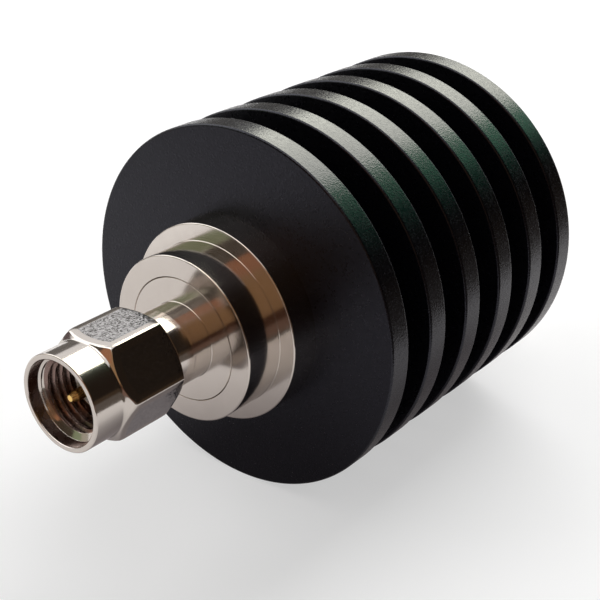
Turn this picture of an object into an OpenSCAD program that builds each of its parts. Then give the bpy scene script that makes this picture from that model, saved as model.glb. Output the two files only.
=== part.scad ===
// Coaxial power attenuator: a finned round heat sink with a plug connector at the front
// and a jack connector at the back. The axis of the coaxial line lies along Y, the plug
// points to -Y, and the origin is the centre of the plug's contact face.

/* [Heat sink] */
// Outside diameter of the fins
sink_d = 31.5; // [28:0.5:40]
// Length of the heat sink
sink_len = 28.5; // [24:0.5:40]
// Number of fins
fin_count = 6; // [4:1:7]
// Thickness of one fin
fin_t = 2.2; // [1.6:0.1:2.4]
// Diameter of the core between the fins
core_d = 19; // [18:0.5:24]
// Bevel on the fin edges
fin_bevel = 0.15; // [0.05:0.05:0.4]
// Through bore that holds the carrier
bore_d = 11; // [10:0.1:12]

/* [Flanges] */
// Diameter of the step that seats on the heat sink
seat_d = 16.9; // [15:0.1:18]
// Thickness of the seating step
seat_t = 2.7; // [2:0.05:4]
// Diameter of the raised step
step_d = 14; // [12.5:0.1:14.8]
// Height of the raised step
step_t = 3.65; // [3:0.05:5]
// Bevel on the edges of both steps
flange_bevel = 0.15; // [0.05:0.05:0.3]
// Length of the spigot inside the heat sink
spigot_len = 4; // [3:0.25:5]
// Diameter of the connector disc let into the raised step
disc_d = 10.4; // [9:0.1:11.5]
// Thickness of the connector disc
disc_t = 2; // [1.4:0.1:2.6]
// Bevel along both sides of the ring line round the disc
ring_line = 0.1; // [0.05:0.01:0.2]

/* [Coaxial line] */
// Inside diameter of the outer conductor
line_bore_d = 4.12; // [3.9:0.02:4.2]
// Diameter of the centre conductor
line_core_d = 1.27; // [1.15:0.01:1.4]
// Reach of the centre conductors into the carrier
core_tail = 2; // [1.5:0.1:3]

/* [Plug] */
// Outside diameter of the outer contact
shell_d = 4.56; // [4.5:0.01:4.6]
// Length of the outer contact ahead of the seal
shell_len = 2.1; // [2:0.05:2.5]
// Diameter of the seat that carries the seal
seal_seat_d = 4.94; // [4.9:0.02:5]
// Diameter of the land that the nut turns on
land_d = 5.24; // [5.1:0.02:5.4]
// Diameter of the barrel behind the nut
barrel_d = 6.4; // [6:0.1:7]
// Length of the barrel
barrel_len = 3.85; // [3:0.05:5]
// Diameter of the centre pin
pin_d = 0.92; // [0.9:0.01:0.94]
// Length of the pin ahead of the contact face
pin_len = 2.4; // [1.9:0.05:2.5]
// Diameter of the pin's blunt tip
tip_d = 0.5; // [0.3:0.02:0.6]
// Length of the taper behind the tip
tip_len = 0.45; // [0.3:0.05:0.7]
// Depth of the insulator's face behind the contact face
insulator_recess = 0.2; // [0:0.05:0.4]

/* [Coupling nut] */
// Hexagon across the flats
nut_flats = 8; // [7.9:0.02:8.4]
// Reach of the nut ahead of the contact face
nut_reach = 3.4; // [3.2:0.05:4]
// Diameter of the round nose
nose_d = 7.75; // [7.5:0.05:7.85]
// Length of the round nose
nose_len = 2.65; // [2:0.05:3]
// Bevel at the rear end of the hexagon, along the axis
nut_bevel = 0.45; // [0.3:0.05:0.6]
// Diameter of the plain mouth
mouth_d = 6.8; // [6.6:0.05:7]
// Depth of the plain mouth
mouth_len = 0.95; // [0.8:0.05:1.1]
// Length of the lead-in bevel from the mouth to the thread
lead_len = 0.3; // [0.2:0.05:0.6]
// Bevel on the mouth's inner and outer edges
mouth_bevel = 0.08; // [0.04:0.01:0.15]
// Bore at the crests of the thread
thread_bore_d = 5.66; // [5.62:0.01:5.76]
// Diameter of the hollow behind the thread
relief_d = 6.5; // [6.4:0.05:6.8]
// Length of the rear lip behind the retaining ring
lip_len = 1.05; // [0.9:0.05:1.5]

/* [Retaining ring and seal] */
// Width of the retaining ring along the axis
ring_w = 0.6; // [0.4:0.05:0.8]
// Radial thickness of the retaining ring
ring_t = 0.5; // [0.45:0.01:0.55]
// Depth of the ring's groove in the plug's land
ring_groove = 0.17; // [0.1:0.01:0.2]
// Opening of the split ring
ring_split = 1.2; // [0.8:0.1:2]
// Land between the shoulder and the ring
ring_land = 0.75; // [0.6:0.05:1]
// Thickness of the seal ahead of the shoulder
seal_t = 0.6; // [0.4:0.05:0.8]
// Outside diameter of the seal
seal_d = 6.2; // [5.9:0.05:6.3]

/* [Jack] */
// Outside diameter of the thread
jack_d = 6.35; // [6.3:0.01:6.4]
// Length of the threaded barrel
jack_len = 9.5; // [8:0.1:12]
// Diameter of the undercut at the root of the barrel
undercut_d = 5.5; // [5.2:0.05:5.8]
// Length of the undercut
undercut_len = 0.8; // [0.5:0.05:1.2]
// Bevel on the end of the thread
jack_bevel = 0.35; // [0.2:0.05:0.5]
// Diameter of the counterbore in the end
counterbore_d = 4.62; // [4.58:0.01:4.68]
// Depth of the counterbore
counterbore_len = 1.95; // [1.8:0.05:2.1]
// Bore of the socket contact
socket_d = 0.96; // [0.94:0.01:1]
// Depth of the socket bore
socket_len = 3; // [2.6:0.1:3.6]
// Width of the slots between the socket's tines
slot_w = 0.12; // [0.08:0.01:0.14]
// Length of those slots
slot_len = 2.4; // [2:0.1:2.6]

/* [Attenuator] */
// Width of the ceramic chip
chip_w = 5; // [4:0.1:6]
// Length of the ceramic chip
chip_len = 9; // [7:0.1:10]
// Thickness of the ceramic chip
chip_t = 1; // [0.8:0.05:1.4]
// Width of the connecting tabs
tab_w = 0.9; // [0.7:0.05:1.1]
// Thickness of the connecting tabs
tab_t = 0.1; // [0.08:0.01:0.15]
// Lap of a tab on the chip and in the slot of its conductor
tab_lap = 1.2; // [0.9:0.1:1.4]
// Height of the carrier's lid joint above the axis
lid_height = 2; // [1.6:0.1:2.4]

/* [Clearances] */
// Gap between pieces that stay put
fit_gap = 0.02; // [0.01:0.01:0.03]
// Running gap between the nut and its land
turn_gap = 0.06; // [0.04:0.01:0.08]
// Free gap between the nut and the pieces it turns past
nut_gap = 0.25; // [0.15:0.05:0.35]
// Side gap between the nut's groove and the retaining ring
ring_play = 0.1; // [0.08:0.01:0.15]
// Side gap between the chip and the carrier's channel
chip_gap = 0.1; // [0.05:0.05:0.2]

/* [Hidden] */
$fn = 96;

// Radii
sink_r = sink_d / 2;
core_r = core_d / 2;
bore_r = bore_d / 2;
insert_r = bore_r - fit_gap;
seat_r = seat_d / 2;
step_r = step_d / 2;
disc_r = disc_d / 2;
line_r = line_bore_d / 2;
insulator_r = line_r - fit_gap;
conductor_r = line_core_d / 2;
shell_r = shell_d / 2;
seal_seat_r = seal_seat_d / 2;
land_r = land_d / 2;
lip_r = land_r + turn_gap;
barrel_r = barrel_d / 2;
pin_r = pin_d / 2;
nose_r = nose_d / 2;
mouth_r = mouth_d / 2;
thread_r = thread_bore_d / 2;
relief_r = relief_d / 2;
ring_seat_r = land_r - ring_groove;
ring_in_r = ring_seat_r + fit_gap;
ring_out_r = ring_in_r + ring_t;
jack_r = jack_d / 2;
undercut_r = undercut_d / 2;
counterbore_r = counterbore_d / 2;
socket_r = socket_d / 2;
nut_corner_r = nut_flats / 2 / cos(30);

// Places along the axis, front to back
nut_front = -nut_reach;
thread_end = shell_len - nut_gap;
shoulder = shell_len + seal_t;
relief_end = shoulder + nut_gap;
ring_front = shoulder + ring_land;
ring_back = ring_front + ring_w;
nut_back = ring_back + ring_play + lip_len;
land_end = nut_back + nut_gap;
step_face = land_end + barrel_len;
disc_back = step_face + disc_t;
seat_face = step_face + step_t;
sink_front = seat_face + seat_t;
spigot_end = sink_front + spigot_len;
sink_back = sink_front + sink_len;
fin_pitch = (sink_len - fin_t) / (fin_count - 1);
middle = (sink_front + sink_back) / 2;
carrier_len = sink_len - 2 * spigot_len;
rear_step_face = 2 * middle - step_face;
jack_end = rear_step_face + jack_len;
jack_face = jack_end - counterbore_len;
rear_spigot_end = 2 * middle - spigot_end;

// Levels of the attenuator, from the axis
chip_top = -tab_t / 2;
chip_bottom = chip_top - chip_t;
channel_w = chip_w + 2 * chip_gap;

// A profile of radius and place along the axis, turned about the coaxial line
module turned(profile) {
    rotate([-90, 0, 0])
        rotate_extrude()
            polygon(profile);
}

// The same piece at the other end of the heat sink
module at_rear() {
    translate([0, 2 * middle, 0])
        mirror([0, 1, 0])
            children();
}

// Round bar along the axis from one place to another
module bar(r, from, to) {
    translate([0, from, 0])
        rotate([-90, 0, 0])
            cylinder(r = r, h = to - from);
}

// Outline of one bevelled fin from its front face to its back face
function fin_points(front) = [
    [core_r, front],
    [sink_r - fin_bevel, front],
    [sink_r, front + fin_bevel],
    [sink_r, front + fin_t - fin_bevel],
    [sink_r - fin_bevel, front + fin_t],
    [core_r, front + fin_t]
];

module heat_sink() {
    fins = [for (i = [0 : fin_count - 1]) each fin_points(sink_front + i * fin_pitch)];
    color([0.09, 0.09, 0.1])
        turned(concat([[bore_r, sink_front]], fins, [[bore_r, sink_back]]));
}

// Stepped flange with a recess for the connector disc and a spigot for the heat sink's bore
module flange() {
    recess_r = disc_r + fit_gap;
    turned([
        [recess_r + ring_line, step_face],
        [step_r - flange_bevel, step_face],
        [step_r, step_face + flange_bevel],
        [step_r, seat_face],
        [seat_r - flange_bevel, seat_face],
        [seat_r, seat_face + flange_bevel],
        [seat_r, sink_front],
        [insert_r, sink_front],
        [insert_r, spigot_end],
        [line_r, spigot_end],
        [line_r, disc_back],
        [recess_r, disc_back],
        [recess_r, step_face + ring_line]
    ]);
}

module front_flange() {
    color([0.74, 0.7, 0.68])
        flange();
}

module rear_flange() {
    color([0.74, 0.7, 0.68])
        at_rear()
            flange();
}

// Outer contact, grooved land for the nut, barrel and disc in one turned piece
module plug_body() {
    groove_front = ring_front - fit_gap;
    groove_back = ring_back + fit_gap;
    color([0.76, 0.72, 0.7])
        turned([
            [line_r, 0],
            [shell_r - mouth_bevel, 0],
            [shell_r, mouth_bevel],
            [shell_r, shell_len],
            [seal_seat_r, shell_len],
            [seal_seat_r, shoulder],
            [land_r, shoulder],
            [land_r, groove_front],
            [ring_seat_r, groove_front],
            [ring_seat_r, groove_back],
            [land_r, groove_back],
            [land_r, land_end],
            [barrel_r - flange_bevel, land_end],
            [barrel_r, land_end + flange_bevel],
            [barrel_r, step_face],
            [disc_r - ring_line, step_face],
            [disc_r, step_face + ring_line],
            [disc_r, disc_back],
            [line_r, disc_back]
        ]);
}

// Hexagon with a turned nose and bevels, bored for the thread, the seal and the retaining ring
module coupling_nut() {
    nose_end = nut_front + nose_len;
    bevel_len = nut_corner_r - nose_r;
    rear_r = nut_flats / 2;
    mouth_end = nut_front + mouth_len;
    groove_front = ring_front - ring_play;
    groove_back = ring_back + ring_play;
    groove_r = ring_out_r + turn_gap;
    color([0.78, 0.74, 0.72])
        difference() {
            intersection() {
                translate([0, nut_front, 0])
                    rotate([-90, 0, 0])
                        cylinder(r = nut_corner_r, h = nut_back - nut_front, $fn = 6);
                turned([
                    [0, nut_front],
                    [nose_r - mouth_bevel, nut_front],
                    [nose_r, nut_front + mouth_bevel],
                    [nose_r, nose_end],
                    [nut_corner_r, nose_end + bevel_len],
                    [nut_corner_r, nut_back - nut_bevel],
                    [rear_r, nut_back],
                    [0, nut_back]
                ]);
            }
            turned([
                [0, nut_front - nut_gap],
                [mouth_r + mouth_bevel, nut_front - nut_gap],
                [mouth_r + mouth_bevel, nut_front],
                [mouth_r, nut_front + mouth_bevel],
                [mouth_r, mouth_end],
                [thread_r, mouth_end + lead_len],
                [thread_r, thread_end],
                [relief_r, thread_end],
                [relief_r, relief_end],
                [lip_r, relief_end],
                [lip_r, groove_front],
                [groove_r, groove_front],
                [groove_r, groove_back],
                [lip_r, groove_back],
                [lip_r, nut_back + nut_gap],
                [0, nut_back + nut_gap]
            ]);
        }
}

// Split ring in the groove of the land, which keeps the nut on the plug
module nut_retaining_ring() {
    color([0.8, 0.68, 0.42])
        difference() {
            turned([
                [ring_in_r, ring_front],
                [ring_out_r, ring_front],
                [ring_out_r, ring_back],
                [ring_in_r, ring_back]
            ]);
            translate([-ring_split / 2, ring_front - fit_gap, 0])
                cube([ring_split, ring_w + 2 * fit_gap, ring_out_r + fit_gap]);
        }
}

module nut_seal() {
    seal_in_r = seal_seat_r + fit_gap;
    color([0.7, 0.25, 0.15])
        turned([
            [seal_in_r, shell_len],
            [seal_d / 2, shell_len],
            [seal_d / 2, shoulder],
            [seal_in_r, shoulder]
        ]);
}

// Disc, undercut and threaded barrel with its counterbore, in one turned piece
module jack_body() {
    disc_front = rear_step_face - disc_t;
    undercut_end = rear_step_face + undercut_len;
    root_step = jack_r - undercut_r;
    color([0.76, 0.72, 0.7])
        turned([
            [line_r, disc_front],
            [disc_r, disc_front],
            [disc_r, rear_step_face - ring_line],
            [disc_r - ring_line, rear_step_face],
            [undercut_r, rear_step_face],
            [undercut_r, undercut_end],
            [jack_r, undercut_end + root_step],
            [jack_r, jack_end - jack_bevel],
            [jack_r - jack_bevel, jack_end],
            [counterbore_r + mouth_bevel, jack_end],
            [counterbore_r, jack_end - mouth_bevel],
            [counterbore_r, jack_face],
            [line_r, jack_face]
        ]);
}

// Insulating bead between a centre conductor and the outer conductor
module insulator(from, to) {
    turned([
        [conductor_r + fit_gap, from],
        [insulator_r, from],
        [insulator_r, to],
        [conductor_r + fit_gap, to]
    ]);
}

module plug_insulator() {
    color([0.92, 0.91, 0.88])
        insulator(insulator_recess, spigot_end);
}

module jack_insulator() {
    color([0.92, 0.91, 0.88])
        insulator(rear_spigot_end, jack_face);
}

// Cut for a tab in the tail of a centre conductor that ends at the given place
module tab_slot(tail_end) {
    slot_h = tab_t + 2 * fit_gap;
    width = line_core_d + 2 * fit_gap;
    translate([-width / 2, tail_end - tab_lap - fit_gap, -slot_h / 2])
        cube([width, tab_lap + 2 * fit_gap, slot_h]);
}

module plug_pin() {
    tail_end = spigot_end + core_tail;
    color([0.86, 0.66, 0.27])
        difference() {
            turned([
                [0, -pin_len],
                [tip_d / 2, -pin_len],
                [pin_r, tip_len - pin_len],
                [pin_r, 0],
                [conductor_r, 0],
                [conductor_r, tail_end],
                [0, tail_end]
            ]);
            tab_slot(tail_end);
        }
}

// Socket with four sprung tines, and a slotted tail for its tab
module jack_contact() {
    tail_end = rear_spigot_end - core_tail;
    tine_r = conductor_r + fit_gap;
    color([0.86, 0.66, 0.27])
        difference() {
            turned([
                [0, tail_end],
                [conductor_r, tail_end],
                [conductor_r, jack_face],
                [socket_r, jack_face],
                [socket_r, jack_face - socket_len],
                [0, jack_face - socket_len]
            ]);
            for (turn = [0, 90])
                rotate([0, turn, 0])
                    translate([-tine_r, jack_face - slot_len, -slot_w / 2])
                        cube([2 * tine_r, slot_len + fit_gap, slot_w]);
            at_rear()
                tab_slot(spigot_end + core_tail);
        }
}

// Open channel from the chip's underside up to a given level
module channel(top) {
    translate([-channel_w / 2, spigot_end - fit_gap, chip_bottom])
        cube([channel_w, carrier_len + 2 * fit_gap, top - chip_bottom]);
}

// Space above the joint between the carrier and its lid
module above_joint() {
    translate([-bore_r, spigot_end - fit_gap, lid_height])
        cube([2 * bore_r, carrier_len + 2 * fit_gap, bore_r]);
}

module carrier_base() {
    color([0.72, 0.43, 0.3])
        difference() {
            bar(insert_r, spigot_end, rear_spigot_end);
            above_joint();
            channel(lid_height + fit_gap);
        }
}

module carrier_lid() {
    color([0.72, 0.43, 0.3])
        intersection() {
            bar(insert_r, spigot_end, rear_spigot_end);
            above_joint();
        }
}

module attenuator_chip() {
    color([0.88, 0.88, 0.86])
        translate([-chip_w / 2, middle - chip_len / 2, chip_bottom])
            cube([chip_w, chip_len, chip_t]);
}

// Flat tab from the slot in a conductor's tail to the chip's end pad
module tab() {
    from = spigot_end + core_tail - tab_lap;
    to = middle - chip_len / 2 + tab_lap;
    translate([-tab_w / 2, from, chip_top])
        cube([tab_w, to - from, tab_t]);
}

module input_tab() {
    color([0.8, 0.78, 0.74])
        tab();
}

module output_tab() {
    color([0.8, 0.78, 0.74])
        at_rear()
            tab();
}

heat_sink();
front_flange();
plug_body();
coupling_nut();
nut_retaining_ring();
nut_seal();
plug_insulator();
plug_pin();
carrier_base();
carrier_lid();
attenuator_chip();
input_tab();
output_tab();
rear_flange();
jack_body();
jack_insulator();
jack_contact();
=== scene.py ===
"""Looks of the coaxial power attenuator: finned heat sink, plug with coupling nut, and jack."""
import math

import bpy
import numpy as np
from mathutils import Matrix, Vector


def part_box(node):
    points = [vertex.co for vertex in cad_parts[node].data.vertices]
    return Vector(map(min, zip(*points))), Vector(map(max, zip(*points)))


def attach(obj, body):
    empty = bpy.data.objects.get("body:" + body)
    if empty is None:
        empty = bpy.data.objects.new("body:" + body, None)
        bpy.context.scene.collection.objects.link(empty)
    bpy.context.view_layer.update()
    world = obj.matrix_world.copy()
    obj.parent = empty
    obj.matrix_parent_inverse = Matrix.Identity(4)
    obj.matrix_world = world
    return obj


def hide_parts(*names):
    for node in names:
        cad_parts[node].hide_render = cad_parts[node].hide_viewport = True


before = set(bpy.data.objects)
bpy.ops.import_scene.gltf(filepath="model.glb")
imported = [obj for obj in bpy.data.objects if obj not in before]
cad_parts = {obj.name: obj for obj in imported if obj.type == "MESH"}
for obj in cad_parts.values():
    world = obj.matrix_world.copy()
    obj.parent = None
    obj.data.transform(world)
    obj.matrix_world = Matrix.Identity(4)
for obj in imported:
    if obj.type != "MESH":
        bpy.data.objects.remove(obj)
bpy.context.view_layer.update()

MM = 0.001
TURN = 2 * math.pi
SIXTH = math.radians(60)
HALF_SIXTH = math.radians(30)


def span(node):
    """Lowest and highest corner of a CAD node, in millimetres."""
    low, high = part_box(node)
    return [v / MM for v in low], [v / MM for v in high]


# Sizes taken from the frame, in millimetres
sink_low, sink_high = span("heat_sink")
flange_low, flange_high = span("front_flange")
plug_high = span("plug_body")[1]
nut_low, nut_high = span("coupling_nut")

sink_r = sink_high[0]
sink_front, sink_back = sink_low[1], sink_high[1]
middle = (sink_front + sink_back) / 2
seat_r = flange_high[0]
step_face, spigot_end = flange_low[1], flange_high[1]
disc_r = plug_high[0]
disc_back = plug_high[1]
nut_front, nut_back = nut_low[1], nut_high[1]
half_flats = nut_high[2]
rear_step_face = span("rear_flange")[1][1]
jack_end = span("jack_body")[1][1]

# Heat sink
fin_count = 6
fin_t = 2.2
core_r = 9.5
bore_r = 5.5
fin_round = 0.2
root_round = 0.35
fin_pitch = (sink_back - sink_front - fin_t) / (fin_count - 1)

# Flanges
step_r = 7.0
step_t = 3.65
flange_bevel = 0.15
ring_line = 0.1
ring_side = 0.045
edge_soft = 0.11
step_round = 0.06
hair_round = 0.02
spigot_round = 0.2
fit_gap = 0.02
spigot_r = bore_r - fit_gap
line_r = 2.06

# Plug
shell_r = 2.28
shell_len = 2.1
shell_round = 0.08
bore_round = 0.03
seal_seat_r = 2.47
seat_round = 0.04
shoulder = 2.7
land_r = 2.62
land_round = 0.1
ring_front, ring_back = 3.45, 4.05
ring_seat_r = 2.45
land_gap = 0.25
land_end = nut_back + land_gap
barrel_r = 3.2
barrel_round = 0.05
taper_len = 1.8
taper = 0.11

# Coupling nut
nose_r = 3.875
nose_len = 2.65
rim_round = 0.1
nut_bevel = 0.45
rear_r = 3.92
rear_trim = 0.02
corner_round = 0.25
crown_round = 3.0
crown_lean = math.radians(10)
crown_len = 0.5
back_lean = math.radians(2.2)
back_len = 0.6
edge_round = 0.16
edge_share = 0.3
rear_round = 0.16
mouth_r = 3.4
mouth_len = 0.95
mouth_bevel = 0.08
mouth_lap = 0.02
lead_len = 0.3
thread_r = 2.83
relief_r = 3.25
thread_end = 1.85
relief_end = 2.95
lip_r = 2.68
lip_bevel = 0.06
groove_front, groove_back = 3.35, 4.15
groove_r = 3.03

# Jack and threads
jack_r = 3.175
undercut_r = 2.75
undercut_len = 0.8
undercut_round = 0.05
jack_bevel = 0.35
counterbore_r = 2.31
counterbore_len = 1.95
counterbore_bevel = 0.08
pitch = 25.4 / 36
thread_depth = 0.37
root_share = 0.16
flank_share = 0.7
rows_per_turn = 18
jack_phase = 0.5

# Fineness of the meshes
ARC_STEPS = 4
SINK_ARC_STEPS = 6
NUT_EDGE_STEPS = 5
TURNED_COLUMNS = 256
SINK_COLUMNS = 288
JACK_COLUMNS = 160
MOST_OF_EDGE = 0.45
FLAT_FACE = 0.95
SLOPE_STEP = 0.012
SAME_PLACE = 1e-6


# Meshes made of closed rows of points round the axis

def add_object(name, data):
    """A new object in the scene."""
    obj = bpy.data.objects.new(name, data)
    bpy.context.scene.collection.objects.link(obj)
    return obj


def spread(count):
    """Even angles round the axis, from +Z towards +X."""
    return np.arange(count) * TURN / count


def ring(r, y, angles):
    """One row of points at a radius and a place along the axis."""
    r = np.broadcast_to(np.asarray(r, float), angles.shape)
    y = np.broadcast_to(np.asarray(y, float), angles.shape)
    return np.stack([r * np.sin(angles), y, r * np.cos(angles)], axis=1)


def facing(out, along, angles):
    """Unit normals with an outward part and a part along the axis."""
    return ring(out, along, angles) / np.hypot(out, along)


def leaning(angles, lean):
    """Outward normals that lean back along the axis."""
    return facing(math.cos(lean), math.sin(lean), angles)


def arc_points(before, corner, after, radius, steps):
    """Points and directions of the arc that rounds one corner of an outline."""
    a = np.array(before) - corner
    b = np.array(after) - corner
    a_len, b_len = np.hypot(*a), np.hypot(*b)
    a, b = a / a_len, b / b_len
    half = math.acos(max(-1.0, min(1.0, float(a @ b)))) / 2
    reach = min(radius / math.tan(half), MOST_OF_EDGE * a_len, MOST_OF_EDGE * b_len)
    first = np.array([-a[1], a[0]])
    last = np.array([b[1], -b[0]])
    sweep = math.pi - 2 * half
    arc_r = reach * math.tan(half)
    sense = 1 if (first[0] * last[1] - first[1] * last[0]) > 0 else -1
    centre = corner + a * reach - sense * first * arc_r
    out = []
    for k in range(steps + 1):
        t = k / steps
        normal = (math.sin((1 - t) * sweep) * first + math.sin(t * sweep) * last) / math.sin(sweep)
        out.append((centre + sense * normal * arc_r, normal))
    return out


def outline(corners, steps):
    """Rounds the corners (radius, place, rounding) of a closed outline.

    Gives the points, and for each stretch from a point to the next its two end normals.
    """
    flat = [np.array(c[:2], float) for c in corners]
    points, joins = [], []
    for k, corner in enumerate(corners):
        before, here, after = flat[k - 1], flat[k], flat[(k + 1) % len(flat)]
        if len(corner) > 2:
            for point, normal in arc_points(before, here, after, corner[2], steps):
                points.append(point)
                joins.append((normal, normal))
        else:
            came, goes = here - before, after - here
            came, goes = came / np.hypot(*came), goes / np.hypot(*goes)
            points.append(here)
            joins.append((np.array([came[1], -came[0]]), np.array([goes[1], -goes[0]])))
    return points, [(joins[k][1], joins[(k + 1) % len(joins)][0]) for k in range(len(joins))]


def strips_mesh(name, rows, normals, slots=None):
    """A closed skin over rows of points; normals has the two rows of normals of each strip."""
    count, cols = len(rows), len(rows[0])
    verts = [(point * MM).tolist() for row in rows for point in row]
    faces, loops, kinds = [], [], []
    for j in range(count):
        k = (j + 1) % count
        low_n, top_n = normals[j]
        kind = slots[j] if slots else 0
        for i in range(cols):
            n = (i + 1) % cols
            faces.append((j * cols + i, j * cols + n, k * cols + n, k * cols + i))
            loops += [tuple(v) for v in (low_n[i], low_n[n], top_n[n], top_n[i])]
            kinds.append(int(kind[i]) if np.ndim(kind) else kind)
    mesh = bpy.data.meshes.new(name)
    mesh.from_pydata(verts, [], faces)
    mesh.polygons.foreach_set("material_index", kinds)
    mesh.shade_smooth()
    mesh.normals_split_custom_set(loops)
    mesh.update()
    return add_object(name, mesh)


def lathe_rows(corners, angles, steps=ARC_STEPS):
    """Points of an outline, with the rows and strip normals it makes when turned about the axis."""
    points, stretches = outline(corners, steps)
    rows = [ring(p[0], p[1], angles) for p in points]
    normals = [(facing(*a, angles), facing(*b, angles)) for a, b in stretches]
    return points, rows, normals


def lathe(name, corners, count=TURNED_COLUMNS, steps=ARC_STEPS):
    """A piece turned about the axis; its flat faces take the second material."""
    _, rows, normals = lathe_rows(corners, spread(count), steps)
    slots = [int(min(abs(a[0][1]), abs(b[0][1])) > FLAT_FACE) for a, b in normals]
    return strips_mesh(name, rows, normals, slots)


def mirrored(corners, about):
    """The same outline at the other end of the part, in the same sense of travel."""
    return [(c[0], 2 * about - c[1], *c[2:]) for c in reversed(corners)]


def ridge(phase):
    """Height of a thread's flank, from 0 at the root to 1 at the crest."""
    saw = np.abs(2 * (phase % 1.0) - 1)
    return np.clip((saw - root_share) / flank_share, 0, 1)


def thread_places(start, end):
    """Places of a thread's rows along the axis."""
    return np.linspace(start, end, int(abs(end - start) / pitch * rows_per_turn))


def thread_rows(places, angles, radius):
    """Rows and normals of a surface whose radius depends on angle and place."""
    rows, normals = [], []
    radial = ring(1, 0, angles)
    sideways = np.stack([np.cos(angles), np.zeros_like(angles), -np.sin(angles)], axis=1)
    axis = np.array([0.0, 1.0, 0.0])
    step = SLOPE_STEP
    for y in places:
        r = radius(angles, y)
        by_y = (radius(angles, y + step) - radius(angles, y - step)) / (2 * step)
        by_a = (radius(angles + step, y) - radius(angles - step, y)) / (2 * step)
        n = radial - sideways * (by_a / r)[:, None] - axis * by_y[:, None]
        rows.append(ring(r, y, angles))
        normals.append(n / np.linalg.norm(n, axis=1)[:, None])
    return rows, normals


# Materials; depths of bumps in metres
FINE = 0.00001
COARSE = 0.00002
BLAST_PER_MM = 6.5
MARKS_SHARE = 0.2
METAL_RANGE = 0.06
SOLID_RANGE = 0.08
TANGENT_TURN = 0.25
WAX_REACH = (0.0006, 0.0005, 0.0004)


def add_node(tree, kind, operation=None):
    """A new shader node, with its operation where it has one."""
    node = tree.nodes.new("ShaderNode" + kind)
    if operation:
        node.operation = operation
    return node


def tree_of(name, base, roughness, metallic=0.0):
    """A new material with its tree, its shader and the object's own coordinates."""
    mat = bpy.data.materials.new(name)
    mat.use_nodes = True
    tree = mat.node_tree
    bsdf = tree.nodes["Principled BSDF"]
    bsdf.inputs["Base Color"].default_value = (*base, 1)
    bsdf.inputs["Roughness"].default_value = roughness
    bsdf.inputs["Metallic"].default_value = metallic
    where = add_node(tree, "TexCoord").outputs["Object"]
    return mat, tree, bsdf, where


def wire(tree, bsdf, color, roughness, normal):
    """Joins colour, roughness and normal to the shader."""
    for key, value in (("Base Color", color), ("Roughness", roughness), ("Normal", normal)):
        tree.links.new(value, bsdf.inputs[key])


def noise(tree, where, scale, detail):
    """Cloudy values from 0 to 1."""
    node = add_node(tree, "TexNoise")
    node.inputs["Scale"].default_value = scale
    node.inputs["Detail"].default_value = detail
    tree.links.new(where, node.inputs["Vector"])
    return node.outputs[0]


def ranged(tree, value, low, high, start=0.3, end=0.7):
    """A value between start and end, moved to between low and high."""
    node = add_node(tree, "MapRange")
    for key, number in (("From Min", start), ("From Max", end), ("To Min", low), ("To Max", high)):
        node.inputs[key].default_value = number
    tree.links.new(value, node.inputs["Value"])
    return node.outputs[0]


def tinted(tree, factor, low, high):
    """A colour between two."""
    node = add_node(tree, "Mix")
    node.data_type = "RGBA"
    tree.links.new(factor, node.inputs[0])
    node.inputs[6].default_value = (*low, 1)
    node.inputs[7].default_value = (*high, 1)
    return node.outputs[2]


def bump(tree, height, strength, distance, before=None):
    """Normals that follow a height, on top of other normals if there are any."""
    node = add_node(tree, "Bump")
    node.inputs["Strength"].default_value = strength
    node.inputs["Distance"].default_value = distance
    tree.links.new(height, node.inputs["Height"])
    if before is not None:
        tree.links.new(before, node.inputs["Normal"])
    return node.outputs[0]


def turning_marks(tree, where, lines_per_mm):
    """Fine lines that run round the axis, on faces as well as on cylinders."""
    parts = add_node(tree, "SeparateXYZ")
    tree.links.new(where, parts.inputs[0])
    flat = add_node(tree, "CombineXYZ")
    tree.links.new(parts.outputs["X"], flat.inputs["X"])
    tree.links.new(parts.outputs["Z"], flat.inputs["Z"])
    size = add_node(tree, "VectorMath", "LENGTH")
    tree.links.new(flat.outputs[0], size.inputs[0])
    both = add_node(tree, "Math", "ADD")
    tree.links.new(size.outputs["Value"], both.inputs[0])
    tree.links.new(parts.outputs["Y"], both.inputs[1])
    marks = add_node(tree, "TexNoise")
    marks.noise_dimensions = "1D"
    marks.inputs["Scale"].default_value = lines_per_mm / MM
    marks.inputs["Detail"].default_value = 3
    tree.links.new(both.outputs[0], marks.inputs["W"])
    return marks.outputs[0]


def dimples(tree, where, per_mm):
    """Small round pits, as blasting leaves them: their depth, and a random value for each."""
    node = add_node(tree, "TexVoronoi")
    node.feature = "F1"
    node.inputs["Scale"].default_value = per_mm / MM
    tree.links.new(where, node.inputs["Vector"])
    split = add_node(tree, "SeparateColor")
    tree.links.new(node.outputs["Color"], split.inputs[0])
    return node.outputs["Distance"], split.outputs[0]


def facets(tree, where, per_mm, lean):
    """Surface normals that lean a little another way on each small cell."""
    cells = add_node(tree, "TexVoronoi")
    cells.inputs["Scale"].default_value = per_mm / MM
    tree.links.new(where, cells.inputs["Vector"])
    off = add_node(tree, "VectorMath", "MULTIPLY_ADD")
    tree.links.new(cells.outputs["Color"], off.inputs[0])
    off.inputs[1].default_value = (lean, lean, lean)
    off.inputs[2].default_value = (-lean / 2, -lean / 2, -lean / 2)
    both = add_node(tree, "VectorMath", "ADD")
    tree.links.new(off.outputs[0], both.inputs[0])
    tree.links.new(add_node(tree, "NewGeometry").outputs["Normal"], both.inputs[1])
    unit = add_node(tree, "VectorMath", "NORMALIZE")
    tree.links.new(both.outputs[0], unit.inputs[0])
    return unit.outputs[0]


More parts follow.
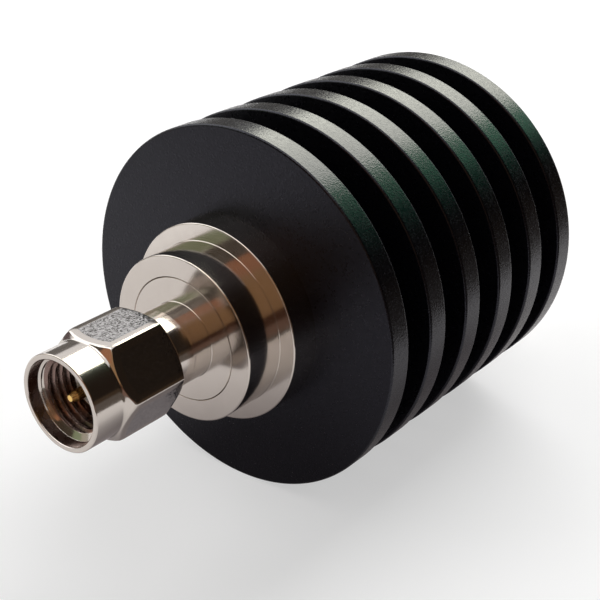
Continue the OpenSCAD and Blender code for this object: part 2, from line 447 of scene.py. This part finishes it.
def anodised(name, smooth, dull, index, gloss, grain):
    """Black anodised aluminium, finely blasted."""
    mat, tree, bsdf, where = tree_of(name, (0.004, 0.004, 0.005), dull)
    depth, each = dimples(tree, where, BLAST_PER_MM)
    cloud = noise(tree, where, scale=260, detail=2)
    wire(tree, bsdf, tinted(tree, cloud, (0.0009, 0.0009, 0.0017), (0.0018, 0.0018, 0.0030)),
         ranged(tree, each, smooth, dull, 0, 1), bump(tree, depth, grain, COARSE))
    bsdf.inputs["IOR"].default_value = index
    bsdf.inputs["Specular Tint"].default_value = (*gloss, 1)
    return mat


def nickel(name, marks_per_mm, rough, depth, stretch):
    """Turned nickel plate: reflections stretch across the turning marks."""
    mat, tree, bsdf, where = tree_of(name, (0.60, 0.55, 0.51), rough, 1.0)
    marks = turning_marks(tree, where, marks_per_mm)
    cloud = noise(tree, where, scale=700, detail=3)
    wire(tree, bsdf, tinted(tree, cloud, (0.58, 0.53, 0.49), (0.64, 0.59, 0.55)),
         ranged(tree, marks, rough * (1 - MARKS_SHARE), rough * (1 + MARKS_SHARE)),
         bump(tree, marks, depth, FINE))
    bsdf.inputs["Anisotropic"].default_value = stretch
    bsdf.inputs["Anisotropic Rotation"].default_value = TANGENT_TURN
    tangent = add_node(tree, "Tangent")
    tangent.direction_type = "RADIAL"
    tangent.axis = "Y"
    tree.links.new(tangent.outputs[0], bsdf.inputs["Tangent"])
    return mat


def nickel_flats():
    """Dull flats with the fine speckle of plate over a sawn bar."""
    mat, tree, bsdf, where = tree_of("nickel_milled_flats", (0.54, 0.51, 0.49), 0.18, 1.0)
    depth, each = dimples(tree, where, BLAST_PER_MM)
    speckle = facets(tree, where, per_mm=7.5, lean=0.088)
    wire(tree, bsdf, tinted(tree, each, (0.46, 0.445, 0.44), (0.58, 0.56, 0.555)),
         ranged(tree, each, 0.10, 0.15, 0, 1),
         bump(tree, depth, strength=0.5, distance=FINE, before=speckle))
    return mat


def nickel_bore_painted_shade():
    """Threaded bore: dull nickel whose dark brown base colour is painted shade of the deep bore,
    with turning marks.
    """
    mat, tree, bsdf, where = tree_of("nickel_bore_painted_shade", (0.46, 0.37, 0.32), 0.26, 1.0)
    marks = turning_marks(tree, where, lines_per_mm=6)
    cloud = noise(tree, where, scale=1200, detail=3)
    # Dark brown base colours: painted shade and painted brown reflections inside the bore, not the
    # plate's own colour
    wire(tree, bsdf, tinted(tree, cloud, (0.21, 0.14, 0.12), (0.30, 0.22, 0.20)),
         ranged(tree, cloud, 0.20, 0.32), bump(tree, marks, strength=0.05, distance=FINE))
    return mat


def plain_metal(name, low, high, roughness, grain_scale):
    """Bare or plated metal with a fine, even grain."""
    mat, tree, bsdf, where = tree_of(name, high, roughness, 1.0)
    grain = noise(tree, where, grain_scale, detail=3)
    wire(tree, bsdf, tinted(tree, grain, low, high),
         ranged(tree, grain, roughness - METAL_RANGE, roughness + METAL_RANGE),
         bump(tree, grain, strength=0.1, distance=FINE))
    return mat


def plain_solid(name, low, high, roughness, grain_scale, soft=0.0):
    """Plastic, ceramic or rubber with a fine, even grain."""
    mat, tree, bsdf, where = tree_of(name, high, roughness)
    grain = noise(tree, where, grain_scale, detail=4)
    wire(tree, bsdf, tinted(tree, grain, low, high),
         ranged(tree, grain, roughness - SOLID_RANGE, roughness + SOLID_RANGE),
         bump(tree, grain, strength=0.15, distance=FINE))
    bsdf.inputs["Subsurface Weight"].default_value = soft
    bsdf.inputs["Subsurface Radius"].default_value = WAX_REACH
    return mat


black = anodised("black_anodised_blasted", smooth=0.17, dull=0.30, index=1.445,
                 gloss=(0.83, 0.83, 1.0), grain=0.45)
black_faces = anodised("black_anodised_faces", smooth=0.26, dull=0.40, index=1.365,
                       gloss=(0.80, 0.785, 1.0), grain=0.6)
polished_nickel = nickel("nickel_polished", marks_per_mm=9, rough=0.13, depth=0.006, stretch=0.4)
faced_nickel = nickel("nickel_faced", marks_per_mm=14, rough=0.13, depth=0.03, stretch=0.5)
disc_nickel = nickel("nickel_disc_faced", marks_per_mm=18, rough=0.16, depth=0.04, stretch=0.7)
flat_nickel = nickel_flats()
shaded_bore_nickel = nickel_bore_painted_shade()
gold = plain_metal("gold_plate_contact", (0.78, 0.50, 0.15), (0.88, 0.60, 0.22), 0.15, 9000)
bronze = plain_metal("spring_bronze_ring", (0.62, 0.44, 0.20), (0.72, 0.54, 0.27), 0.3, 9000)
copper = plain_metal("copper_carrier", (0.72, 0.36, 0.24), (0.85, 0.46, 0.32), 0.32, 7000)
silver = plain_metal("silver_tab", (0.80, 0.78, 0.75), (0.90, 0.88, 0.85), 0.25, 9000)
ptfe = plain_solid("ptfe_bead", (0.80, 0.79, 0.75), (0.86, 0.85, 0.82), 0.45, 5000, soft=0.3)
ceramic = plain_solid("ceramic_chip", (0.76, 0.76, 0.73), (0.84, 0.84, 0.82), 0.5, 6000)
rubber = plain_solid("silicone_seal", (0.42, 0.09, 0.05), (0.52, 0.12, 0.07), 0.55, 5000)


def dress(piece, body, node, slot, *mats):
    """Gives a piece its materials, and its place in the shared frame."""
    for mat in mats:
        piece.data.materials.append(mat)
    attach(piece, body)
    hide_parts(node)


# Heat sink: round fins on a core
def sink_corners():
    """Outline of the heat sink, fin by fin."""
    corners = [(bore_r, sink_front)]
    for i in range(fin_count):
        front = sink_front + i * fin_pitch
        back = front + fin_t
        if i > 0:
            corners.append((core_r, front, root_round))
        corners += [(sink_r, front, fin_round), (sink_r, back, fin_round)]
        if i < fin_count - 1:
            corners.append((core_r, back, root_round))
    return corners + [(bore_r, sink_back)]


sink = lathe("finned_heat_sink", sink_corners(), SINK_COLUMNS, SINK_ARC_STEPS)
dress(sink, "attenuator", "heat_sink", "black_anodised", black, black_faces)

# Stepped flange, with its recess for the connector's disc
recess_r = disc_r + fit_gap
seat_face = step_face + step_t
flange_corners = [
    (recess_r + ring_side, step_face, hair_round),
    (step_r, step_face, edge_soft),
    (step_r, seat_face, step_round),
    (seat_r, seat_face, edge_soft),
    (seat_r, sink_front),
    (spigot_r, sink_front),
    (spigot_r, spigot_end, spigot_round),
    (line_r, spigot_end),
    (line_r, disc_back),
    (recess_r, disc_back),
    (recess_r, step_face + ring_line, hair_round),
]
front_flange = lathe("front_flange_turned", flange_corners)
dress(front_flange, "attenuator", "front_flange", "nickel_plate", polished_nickel, faced_nickel)
rear_flange = lathe("rear_flange_turned", mirrored(flange_corners, middle))
dress(rear_flange, "attenuator", "rear_flange", "nickel_plate", polished_nickel, faced_nickel)

# Plug: outer contact, land for the nut, barrel and disc
plug = lathe("plug_body_turned", [
    (line_r, 0, bore_round),
    (shell_r, 0, shell_round),
    (shell_r, shell_len, seat_round),
    (seal_seat_r, shell_len, seat_round),
    (seal_seat_r, shoulder, seat_round),
    (land_r, shoulder, seat_round),
    (land_r, ring_front - fit_gap),
    (ring_seat_r, ring_front - fit_gap),
    (ring_seat_r, ring_back + fit_gap),
    (land_r, ring_back + fit_gap),
    (land_r, land_end, land_round),
    (barrel_r - taper - flange_bevel, land_end, barrel_round),
    (barrel_r - taper, land_end + flange_bevel, barrel_round),
    (barrel_r, land_end + taper_len, barrel_round),
    (barrel_r, step_face, step_round),
    (disc_r - ring_side, step_face, hair_round),
    (disc_r, step_face + ring_line, hair_round),
    (disc_r, disc_back),
    (line_r, disc_back),
])
dress(plug, "attenuator", "plug_body", "nickel_plate", polished_nickel, disc_nickel)


# Coupling nut: bevelled hexagon with a turned nose and a threaded bore
def corner_point(at, turn):
    """Point on the corner at angle at, where the surface faces turn away from the corner.

    The corner is tight in its middle and eases into the flats on both sides.
    """
    tight = HALF_SIXTH - crown_lean
    ease = crown_round - (crown_round - corner_round) * math.cos(crown_lean)
    hub = (half_flats - ease) / math.cos(HALF_SIXTH)
    held = max(-tight, min(tight, turn))
    return [hub * f(at) + corner_round * f(at + held) + crown_round * (f(at + turn) - f(at + held))
            for f in (math.sin, math.cos)]


def hexagon(ease_steps=5, corner_steps=8, flat_steps=16):
    """Angles round a rounded hexagon, its radii, its normals, and 1 where a flat follows."""
    tight = HALF_SIXTH - crown_lean
    turns = np.concatenate([np.linspace(-HALF_SIXTH, -tight, ease_steps + 1)[:-1],
                            np.linspace(-tight, tight, corner_steps + 1),
                            np.linspace(tight, HALF_SIXTH, ease_steps + 1)[1:]])
    points, normal_angles, flats = [], [], []
    for corner in range(6):
        at = HALF_SIXTH + SIXTH * corner
        for turn in turns:
            points.append(np.array(corner_point(at, turn)))
            normal_angles.append(at + turn)
            flats.append(0)
        flats[-1] = 1
        start, end = points[-1], np.array(corner_point(at + SIXTH, turns[0]))
        for k in range(1, flat_steps):
            points.append(start + (end - start) * (k / flat_steps))
            normal_angles.append(at + HALF_SIXTH)
            flats.append(1)
    xs, zs = np.array(points).T
    return np.arctan2(xs, zs), np.hypot(xs, zs), np.array(normal_angles), np.array(flats)


def nut_mesh():
    """The nut's skin: front rim, nose, cone, flats, rear bevel, and the bore back to the front."""
    angles, hex_r, hex_turn, on_flat = hexagon()
    nose_end = nut_front + nose_len
    mouth_end = nut_front + mouth_len
    rear_rise = half_flats / math.cos(HALF_SIXTH) - rear_r
    rear_lean = math.atan2(rear_rise, nut_bevel)
    out_n, in_n = ring(1, 0, angles), ring(-1, 0, angles)
    front_n, back_n = facing(0, -1, angles), facing(0, 1, angles)
    cone_n = facing(1, -1, angles)
    hex_n = ring(1, 0, hex_turn)
    rear_n = facing(nut_bevel, rear_rise, angles)
    rows, normals, slots = [], [], []

    def strip(row, n_start, n_end, slot=0):
        rows.append(row)
        normals.append((n_start, n_end))
        slots.append(slot)

    def bend(steps, place, normal, slot=0):
        """Strips of a curved edge; both functions go from 0 at its start to 1 at its end."""
        for k in range(steps):
            strip(place(k / steps), normal(k / steps), normal((k + 1) / steps), slot)

    # Front face, rounded rim and nose
    def rim(t):
        a = t * TURN / 4
        return ring(nose_r - rim_round + rim_round * math.sin(a),
                    nut_front + rim_round - rim_round * math.cos(a), angles)

    def rim_n(t):
        return facing(math.sin(t * TURN / 4), -math.cos(t * TURN / 4), angles)

    soft = np.minimum(edge_round * math.sqrt(0.5), edge_share * (hex_r - nose_r))
    strip(ring(mouth_r + mouth_bevel, nut_front, angles), front_n, front_n)
    bend(ARC_STEPS, rim, rim_n)
    strip(ring(nose_r, nut_front + rim_round, angles), out_n, out_n)
    strip(ring(nose_r, nose_end - edge_round, angles), out_n, cone_n)
    strip(ring(nose_r + soft, nose_end + soft, angles), cone_n, cone_n)

    # Cone, and flats that ease off towards both ends
    front_drop = crown_len * math.tan(crown_lean) / 2
    back_drop = back_len * math.tan(back_lean) / 2
    cone_end = nose_end + hex_r - nose_r - front_drop
    ease_start = cone_end + edge_round
    rear_meet = nut_back - nut_bevel / rear_rise * (hex_r - rear_r)
    round_start = rear_meet - rear_round * math.tan(rear_lean / 2)

    def front_ease(t):
        return ring(hex_r - front_drop * (1 - t) ** 2, ease_start + crown_len * t, angles)

    def back_ease(t):
        return ring(hex_r - back_drop * t ** 2, round_start - back_len * (1 - t), angles)

    strip(ring(hex_r - front_drop - soft, cone_end - soft, angles),
          cone_n, leaning(hex_turn, -crown_lean))
    bend(NUT_EDGE_STEPS, front_ease, lambda t: leaning(hex_turn, -crown_lean * (1 - t)))
    strip(ring(hex_r, ease_start + crown_len, angles), hex_n, hex_n, on_flat)
    bend(NUT_EDGE_STEPS, back_ease, lambda t: leaning(hex_turn, back_lean * t), on_flat)

    # Rear edge, bevel and face
    def rear_turn(t):
        return back_lean + (rear_lean - back_lean) * t

    def rear_edge(t):
        a = rear_turn(t)
        return ring(hex_r - back_drop - rear_round * (math.cos(back_lean) - math.cos(a)),
                    round_start + rear_round * (math.sin(a) - math.sin(back_lean)), angles)

    bend(NUT_EDGE_STEPS, rear_edge, lambda t: leaning(hex_turn, rear_turn(t)))
    strip(rear_edge(1), rear_n, rear_n)
    strip(ring(rear_r - rear_trim, nut_back, angles), back_n, back_n)

    # Bore from the back: lip, ring groove, lip, relief
    for r, y, n in (
        (lip_r + lip_bevel, nut_back, facing(-1, 1, angles)),
        (lip_r, nut_back - lip_bevel, in_n),
        (lip_r, groove_back, front_n),
        (groove_r, groove_back, in_n),
        (groove_r, groove_front, back_n),
        (lip_r, groove_front, in_n),
        (lip_r, relief_end, front_n),
        (relief_r, relief_end, in_n),
        (relief_r, thread_end, back_n),
    ):
        strip(ring(r, y, angles), n, n)

    # Thread, countersink and plain mouth
    def bore(a, y):
        cut = thread_r + thread_depth * ridge(y / pitch - a / TURN)
        return np.maximum(cut, mouth_r - (y - mouth_end) * (mouth_r - thread_r) / lead_len)

    places = thread_places(thread_end, mouth_end + mouth_lap)
    t_rows, t_normals = thread_rows(places, angles, bore)
    ends = [-n for n in t_normals] + [in_n]
    for k, row in enumerate(t_rows):
        threaded = places[k] > mouth_end + lead_len
        strip(row, ends[k], ends[k + 1], 2 if threaded else 0)
    strip(ring(mouth_r, mouth_end - mouth_lap, angles), in_n, in_n, 2)
    strip(ring(mouth_r, nut_front + mouth_bevel, angles), in_n, facing(-1, -1, angles))
    return strips_mesh("coupling_nut_hexagon", rows, normals, slots)


nut = nut_mesh()
# The threaded bore takes the nickel with painted shade in its base colour
dress(nut, "nut", "coupling_nut", "nickel_plate", polished_nickel, flat_nickel, shaded_bore_nickel)


# Jack: disc, undercut and threaded barrel with its counterbore
def jack_mesh():
    """The jack's skin: a turned outline, with the thread's rows set in after its undercut."""
    angles = spread(JACK_COLUMNS)
    disc_front = rear_step_face - (disc_back - step_face)
    thread_start = rear_step_face + undercut_len
    bevel_start = jack_end - jack_bevel
    undercut_end = thread_start - undercut_round
    before = [
        (line_r, disc_front),
        (disc_r, disc_front),
        (disc_r, rear_step_face - ring_line, hair_round),
        (disc_r - ring_side, rear_step_face, hair_round),
        (undercut_r, rear_step_face, undercut_round),
        (undercut_r, undercut_end),
    ]
    after = [
        (counterbore_r + counterbore_bevel, jack_end, bore_round),
        (counterbore_r, jack_end - counterbore_bevel, bore_round),
        (counterbore_r, jack_end - counterbore_len),
        (line_r, jack_end - counterbore_len),
    ]
    points, rows, normals = lathe_rows(before + after, angles)
    cut = max(k for k, p in enumerate(points) if abs(p[1] - undercut_end) < SAME_PLACE) + 1

    def barrel(a, y):
        cut_r = jack_r - thread_depth + thread_depth * ridge(y / pitch - a / TURN + jack_phase)
        lead = np.minimum(undercut_r + (y - thread_start), jack_r - (y - bevel_start))
        return np.maximum(np.minimum(cut_r, lead), undercut_r)

    t_rows, t_normals = thread_rows(thread_places(thread_start, jack_end), angles, barrel)
    end_n = facing(0, 1, angles)
    strips = [(ring(1, 0, angles), t_normals[0]), *zip(t_normals, t_normals[1:]), (end_n, end_n)]
    return strips_mesh("jack_body_threaded", rows[:cut] + t_rows + rows[cut:],
                       normals[:cut - 1] + strips + normals[cut:])


jack = jack_mesh()
dress(jack, "attenuator", "jack_body", "nickel_plate", polished_nickel, disc_nickel)

# Pieces that keep their CAD form
for node, mat in (
    ("plug_pin", gold),
    ("jack_contact", gold),
    ("nut_retaining_ring", bronze),
    ("nut_seal", rubber),
    ("plug_insulator", ptfe),
    ("jack_insulator", ptfe),
    ("carrier_base", copper),
    ("carrier_lid", copper),
    ("attenuator_chip", ceramic),
    ("input_tab", silver),
    ("output_tab", silver),
):
    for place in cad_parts[node].material_slots:
        place.material = mat

# Studio: pale floor, soft lights, and cards that only reflections see; distances in metres
centre = Vector((0, middle * MM, 0))
QUAD = [(0, 1, 2, 3)]
SIDES = ((-1, -1), (1, -1), (1, 1), (-1, 1))
FLOOR_HALF = 3.0
FLOOR_COLOR = (0.95, 0.945, 0.94, 1)
FLOOR_WHITE_SHARE = 0.5
SKY_COLOR = (1, 0.99, 0.98, 1)
SKY_STRENGTH = 0.30
LIGHT_DISTANCE = 0.5
POOL_START, POOL_END = 0.55, 1.13


def blank_material(name):
    """A material whose tree holds only its output; gives the tree and the output's socket too."""
    mat = bpy.data.materials.new(name)
    mat.use_nodes = True
    tree = mat.node_tree
    tree.nodes.clear()
    return mat, tree, add_node(tree, "OutputMaterial").inputs["Surface"]


def emission(name, color, strength=1.0):
    """A plain glowing material."""
    mat, tree, surface = blank_material(name)
    glow = add_node(tree, "Emission")
    glow.inputs["Color"].default_value = (*color, 1)
    glow.inputs["Strength"].default_value = strength
    tree.links.new(glow.outputs[0], surface)
    return mat


def seen_rays(tree):
    """1 for camera, glossy and transmission rays, 0 for the others."""
    path = add_node(tree, "LightPath")
    total = path.outputs["Is Camera Ray"]
    for key in ("Is Glossy Ray", "Is Transmission Ray"):
        node = add_node(tree, "Math", "MAXIMUM")
        tree.links.new(total, node.inputs[0])
        tree.links.new(path.outputs[key], node.inputs[1])
        total = node.outputs[0]
    return total


def mixed(tree, factor, first, second, surface):
    """Joins a mix of two shaders to the output."""
    mix = add_node(tree, "MixShader")
    tree.links.new(factor, mix.inputs[0])
    tree.links.new(first.outputs[0], mix.inputs[1])
    tree.links.new(second.outputs[0], mix.inputs[2])
    tree.links.new(mix.outputs[0], surface)


def studio_world():
    """White where it is seen or mirrored, a dimmer sky for the light it gives."""
    world = bpy.data.worlds.new("studio")
    bpy.context.scene.world = world
    world.use_nodes = True
    tree = world.node_tree
    tree.nodes.clear()
    white = add_node(tree, "Background")
    white.inputs["Color"].default_value = (1, 1, 1, 1)
    white.inputs["Strength"].default_value = 1.0
    sky = add_node(tree, "Background")
    sky.inputs["Color"].default_value = SKY_COLOR
    sky.inputs["Strength"].default_value = SKY_STRENGTH
    mixed(tree, seen_rays(tree), sky, white, add_node(tree, "OutputWorld").inputs["Surface"])


def studio_floor():
    """A pale floor that the heat sink lies on; it keeps the object's shadow."""
    mesh = bpy.data.meshes.new("studio_floor")
    mesh.from_pydata([(a * FLOOR_HALF, b * FLOOR_HALF, -sink_r * MM) for a, b in SIDES], [], QUAD)
    floor = add_object("studio_floor", mesh)
    mat, tree, surface = blank_material("pale_floor")
    paper = add_node(tree, "BsdfDiffuse")
    paper.inputs["Color"].default_value = FLOOR_COLOR
    share = add_node(tree, "Math", "MULTIPLY")
    share.inputs[1].default_value = FLOOR_WHITE_SHARE
    tree.links.new(seen_rays(tree), share.inputs[0])
    mixed(tree, share.outputs[0], paper, add_node(tree, "Emission"), surface)
    mesh.materials.append(mat)


def way(azimuth, height):
    """Unit vector; angles in degrees, azimuth from +Y towards +X."""
    a, h = math.radians(azimuth), math.radians(height)
    return Vector((math.sin(a) * math.cos(h), math.cos(a) * math.cos(h), math.sin(h)))


def reflected(name, verts, faces, mat):
    """A studio card that only reflections see."""
    mesh = bpy.data.meshes.new(name)
    mesh.from_pydata([tuple(v) for v in verts], [], faces)
    mesh.materials.append(mat)
    obj = add_object(name, mesh)
    obj.visible_camera = False
    obj.visible_diffuse = False
    obj.visible_shadow = False


def soft_light(name, azimuth, height, width, tall, radiance, mirrored_color=(1, 1, 1)):
    """A rectangular soft light with its diffuser; radiance 1 is the brightness of white paper."""
    lamp = bpy.data.lights.new(name, "AREA")
    lamp.shape = "RECTANGLE"
    lamp.size = width
    lamp.size_y = tall
    lamp.energy = radiance * math.pi * width * tall
    obj = add_object(name, lamp)
    direction = way(azimuth, height)
    turn = direction.to_track_quat("Z", "Y")
    obj.location = centre + direction * LIGHT_DISTANCE
    obj.rotation_euler = turn.to_euler()
    obj.visible_camera = False
    obj.visible_glossy = False
    corners = [obj.location + turn.to_matrix() @ Vector((a * width / 2, b * tall / 2, 0))
               for a, b in SIDES]
    diffuser = name + "_diffuser"
    reflected(diffuser, corners, QUAD, emission(diffuser, mirrored_color, radiance))


def card(name, azimuths, heights, color, distance, glow=1.0, steps=12):
    """A curved card round the object, from one pair of angles to another."""
    verts = [centre + distance * way(a, h)
             for a in np.linspace(*azimuths, steps + 1) for h in np.linspace(*heights, steps + 1)]
    row = steps + 1
    faces = [(k, k + 1, k + row + 1, k + row)
             for i in range(steps) for k in range(i * row, i * row + steps)]
    reflected(name, verts, faces, emission(name, color, glow))


def floor_patch(name, low, high, lift, mat):
    """A flat card that lies just above the floor; corners in millimetres."""
    z = -sink_r + lift
    corners = (low[0], low[1]), (high[0], low[1]), (high[0], high[1]), (low[0], high[1])
    reflected(name, [Vector((x, y, z)) * MM for x, y in corners], QUAD, mat)


def shadow_pool(name, spot, reach, turn, inner, outer):
    """A veil, darkest in an oval under the object; it lets inner to outer of the light through."""
    mat, tree, surface = blank_material(name)
    shift = add_node(tree, "Mapping")
    shift.vector_type = "TEXTURE"
    shift.inputs["Location"].default_value = (spot[0] * MM, spot[1] * MM, -sink_r * MM)
    shift.inputs["Scale"].default_value = (reach[0] * MM, reach[1] * MM, 1)
    shift.inputs["Rotation"].default_value = (0, 0, math.radians(turn))
    tree.links.new(add_node(tree, "TexCoord").outputs["Object"], shift.inputs["Vector"])
    away = add_node(tree, "VectorMath", "LENGTH")
    tree.links.new(shift.outputs[0], away.inputs[0])
    depth = ranged(tree, away.outputs["Value"], 0, 1, POOL_START, POOL_END)
    veil = add_node(tree, "BsdfTransparent")
    tree.links.new(tinted(tree, depth, inner, outer), veil.inputs["Color"])
    tree.links.new(veil.outputs[0], surface)
    return mat


studio_world()
studio_floor()
soft_light("back_window", azimuth=-11, height=45, width=0.40, tall=0.32, radiance=6.3,
           mirrored_color=(1.0, 1.005, 0.85))
soft_light("left_window", azimuth=-104, height=40, width=0.42, tall=0.36, radiance=2.0)

# Cards: azimuths, heights, colour, distance
for row in (
    ("card_right", (14, 130), (6, 56), (0.020, 0.014, 0.010), 0.55),
    ("card_right_low", (14, 130), (-2, 6), (0.06, 0.04, 0.025), 0.55),
    ("card_green", (9, 24), (22, 50), (0.40, 1.20, 0.68), 0.48),
    ("card_green_edge", (24, 34), (18, 43), (0.025, 0.23, 0.13), 0.49),
    ("card_edge_top", (24, 34), (43, 52), (0.055, 0.06, 0.05), 0.49),
    ("card_olive", (128, 163), (8, 50), (0.36, 0.215, 0.11), 0.55),
    ("card_olive_low", (128, 163), (-2, 8), (0.08, 0.035, 0.02), 0.54),
    ("card_red", (163, 190), (15, 57), (0.42, 0.19, 0.10), 0.55),
    ("card_red_low", (163, 190), (-2, 15), (0.16, 0.09, 0.05), 0.54),
    ("card_brown", (190, 204), (-2, 50.5), (0.06, 0.045, 0.03), 0.53),
    ("card_brown_left", (204, 220), (-2, 47), (0.07, 0.055, 0.038), 0.53),
    ("card_back_left", (-80, -27), (-1, 24), (0.18, 0.17, 0.16), 0.4),
    ("card_back_left_top", (-60, -36), (24, 27), (0.18, 0.17, 0.16), 0.4),
    ("card_left_edge", (217, 230), (-2, 33), (0.29, 0.34, 0.21), 0.45),
    ("card_left_gap", (256, 273), (-1, 17), (0.14, 0.105, 0.105), 0.45),
    ("card_left_low", (226, 246), (-3, 16), (0.50, 0.46, 0.38), 0.46),
):
    card(*row)

# Bright ceiling: azimuths, heights, glow
CEILING_COLOR = (1.0, 0.99, 0.95)
CEILING_DISTANCE = 0.6
for name, azimuths, heights, glow in (
    ("ceiling_front", (150, 198), (57, 85), 2.4),
    ("ceiling_front_left", (198, 212), (50.5, 85), 2.4),
    ("ceiling_left", (212, 219), (47, 85), 2.4),
    ("ceiling_far_left", (219, 240), (34, 85), 3.0),
):
    card(name, azimuths, heights, CEILING_COLOR, CEILING_DISTANCE, glow)

# Cards on the floor: corners and lift in millimetres
table_edge = emission("table_edge", (0.13, 0.11, 0.095))
table_corner = emission("table_corner", (0.21, 0.13, 0.10))
# Painted pool of window light: a floor patch by the left window that glows brighter than the white
# floor, seen only in reflections
painted_window_light = emission("painted_window_light", (1.0, 0.99, 0.98), 1.12)
table_left = emission("table_left", (0.45, 0.43, 0.37))
veil = shadow_pool("shadow_veil", spot=(8, 25), reach=(15, 40), turn=-30,
                   inner=(0.33, 0.30, 0.305), outer=(0.90, 0.88, 0.87))
for row in (
    ("card_floor_right", (46, -600), (600, 600), 0.2, table_edge),
    ("card_floor_front", (0, -600), (46, -42), 0.2, table_edge),
    ("card_floor_corner", (46, -600), (600, -42), 0.3, table_corner),
    ("painted_light_by_window", (-95, -75), (-40, 10), 0.2, painted_window_light),
    ("card_floor_left", (-600, -600), (-95, -75), 0.2, table_left),
    ("shadow_veil", (-120, -120), (120, 160), 0.1, veil),
):
    floor_patch(*row)

# Camera at the photograph's viewing angle
CAMERA_PLACE = (0.06055, -0.05245, 0.04489)
CAMERA_FORWARD = (-0.5578, 0.7074, -0.4342)
LENS = 73.9
SENSOR = 36
NEAR = 0.001


def camera():
    """The scene's camera, upright, at its place."""
    cam = bpy.data.cameras.new("camera")
    cam.lens = LENS
    cam.sensor_width = SENSOR
    cam.clip_start = NEAR
    obj = add_object("camera", cam)
    forward = Vector(CAMERA_FORWARD).normalized()
    right = forward.cross(Vector((0, 0, 1))).normalized()
    place = Matrix((right, right.cross(forward), -forward)).transposed().to_4x4()
    place.translation = Vector(CAMERA_PLACE)
    obj.matrix_world = place
    bpy.context.scene.camera = obj


camera()
bpy.context.scene.view_settings.view_transform = "Standard"
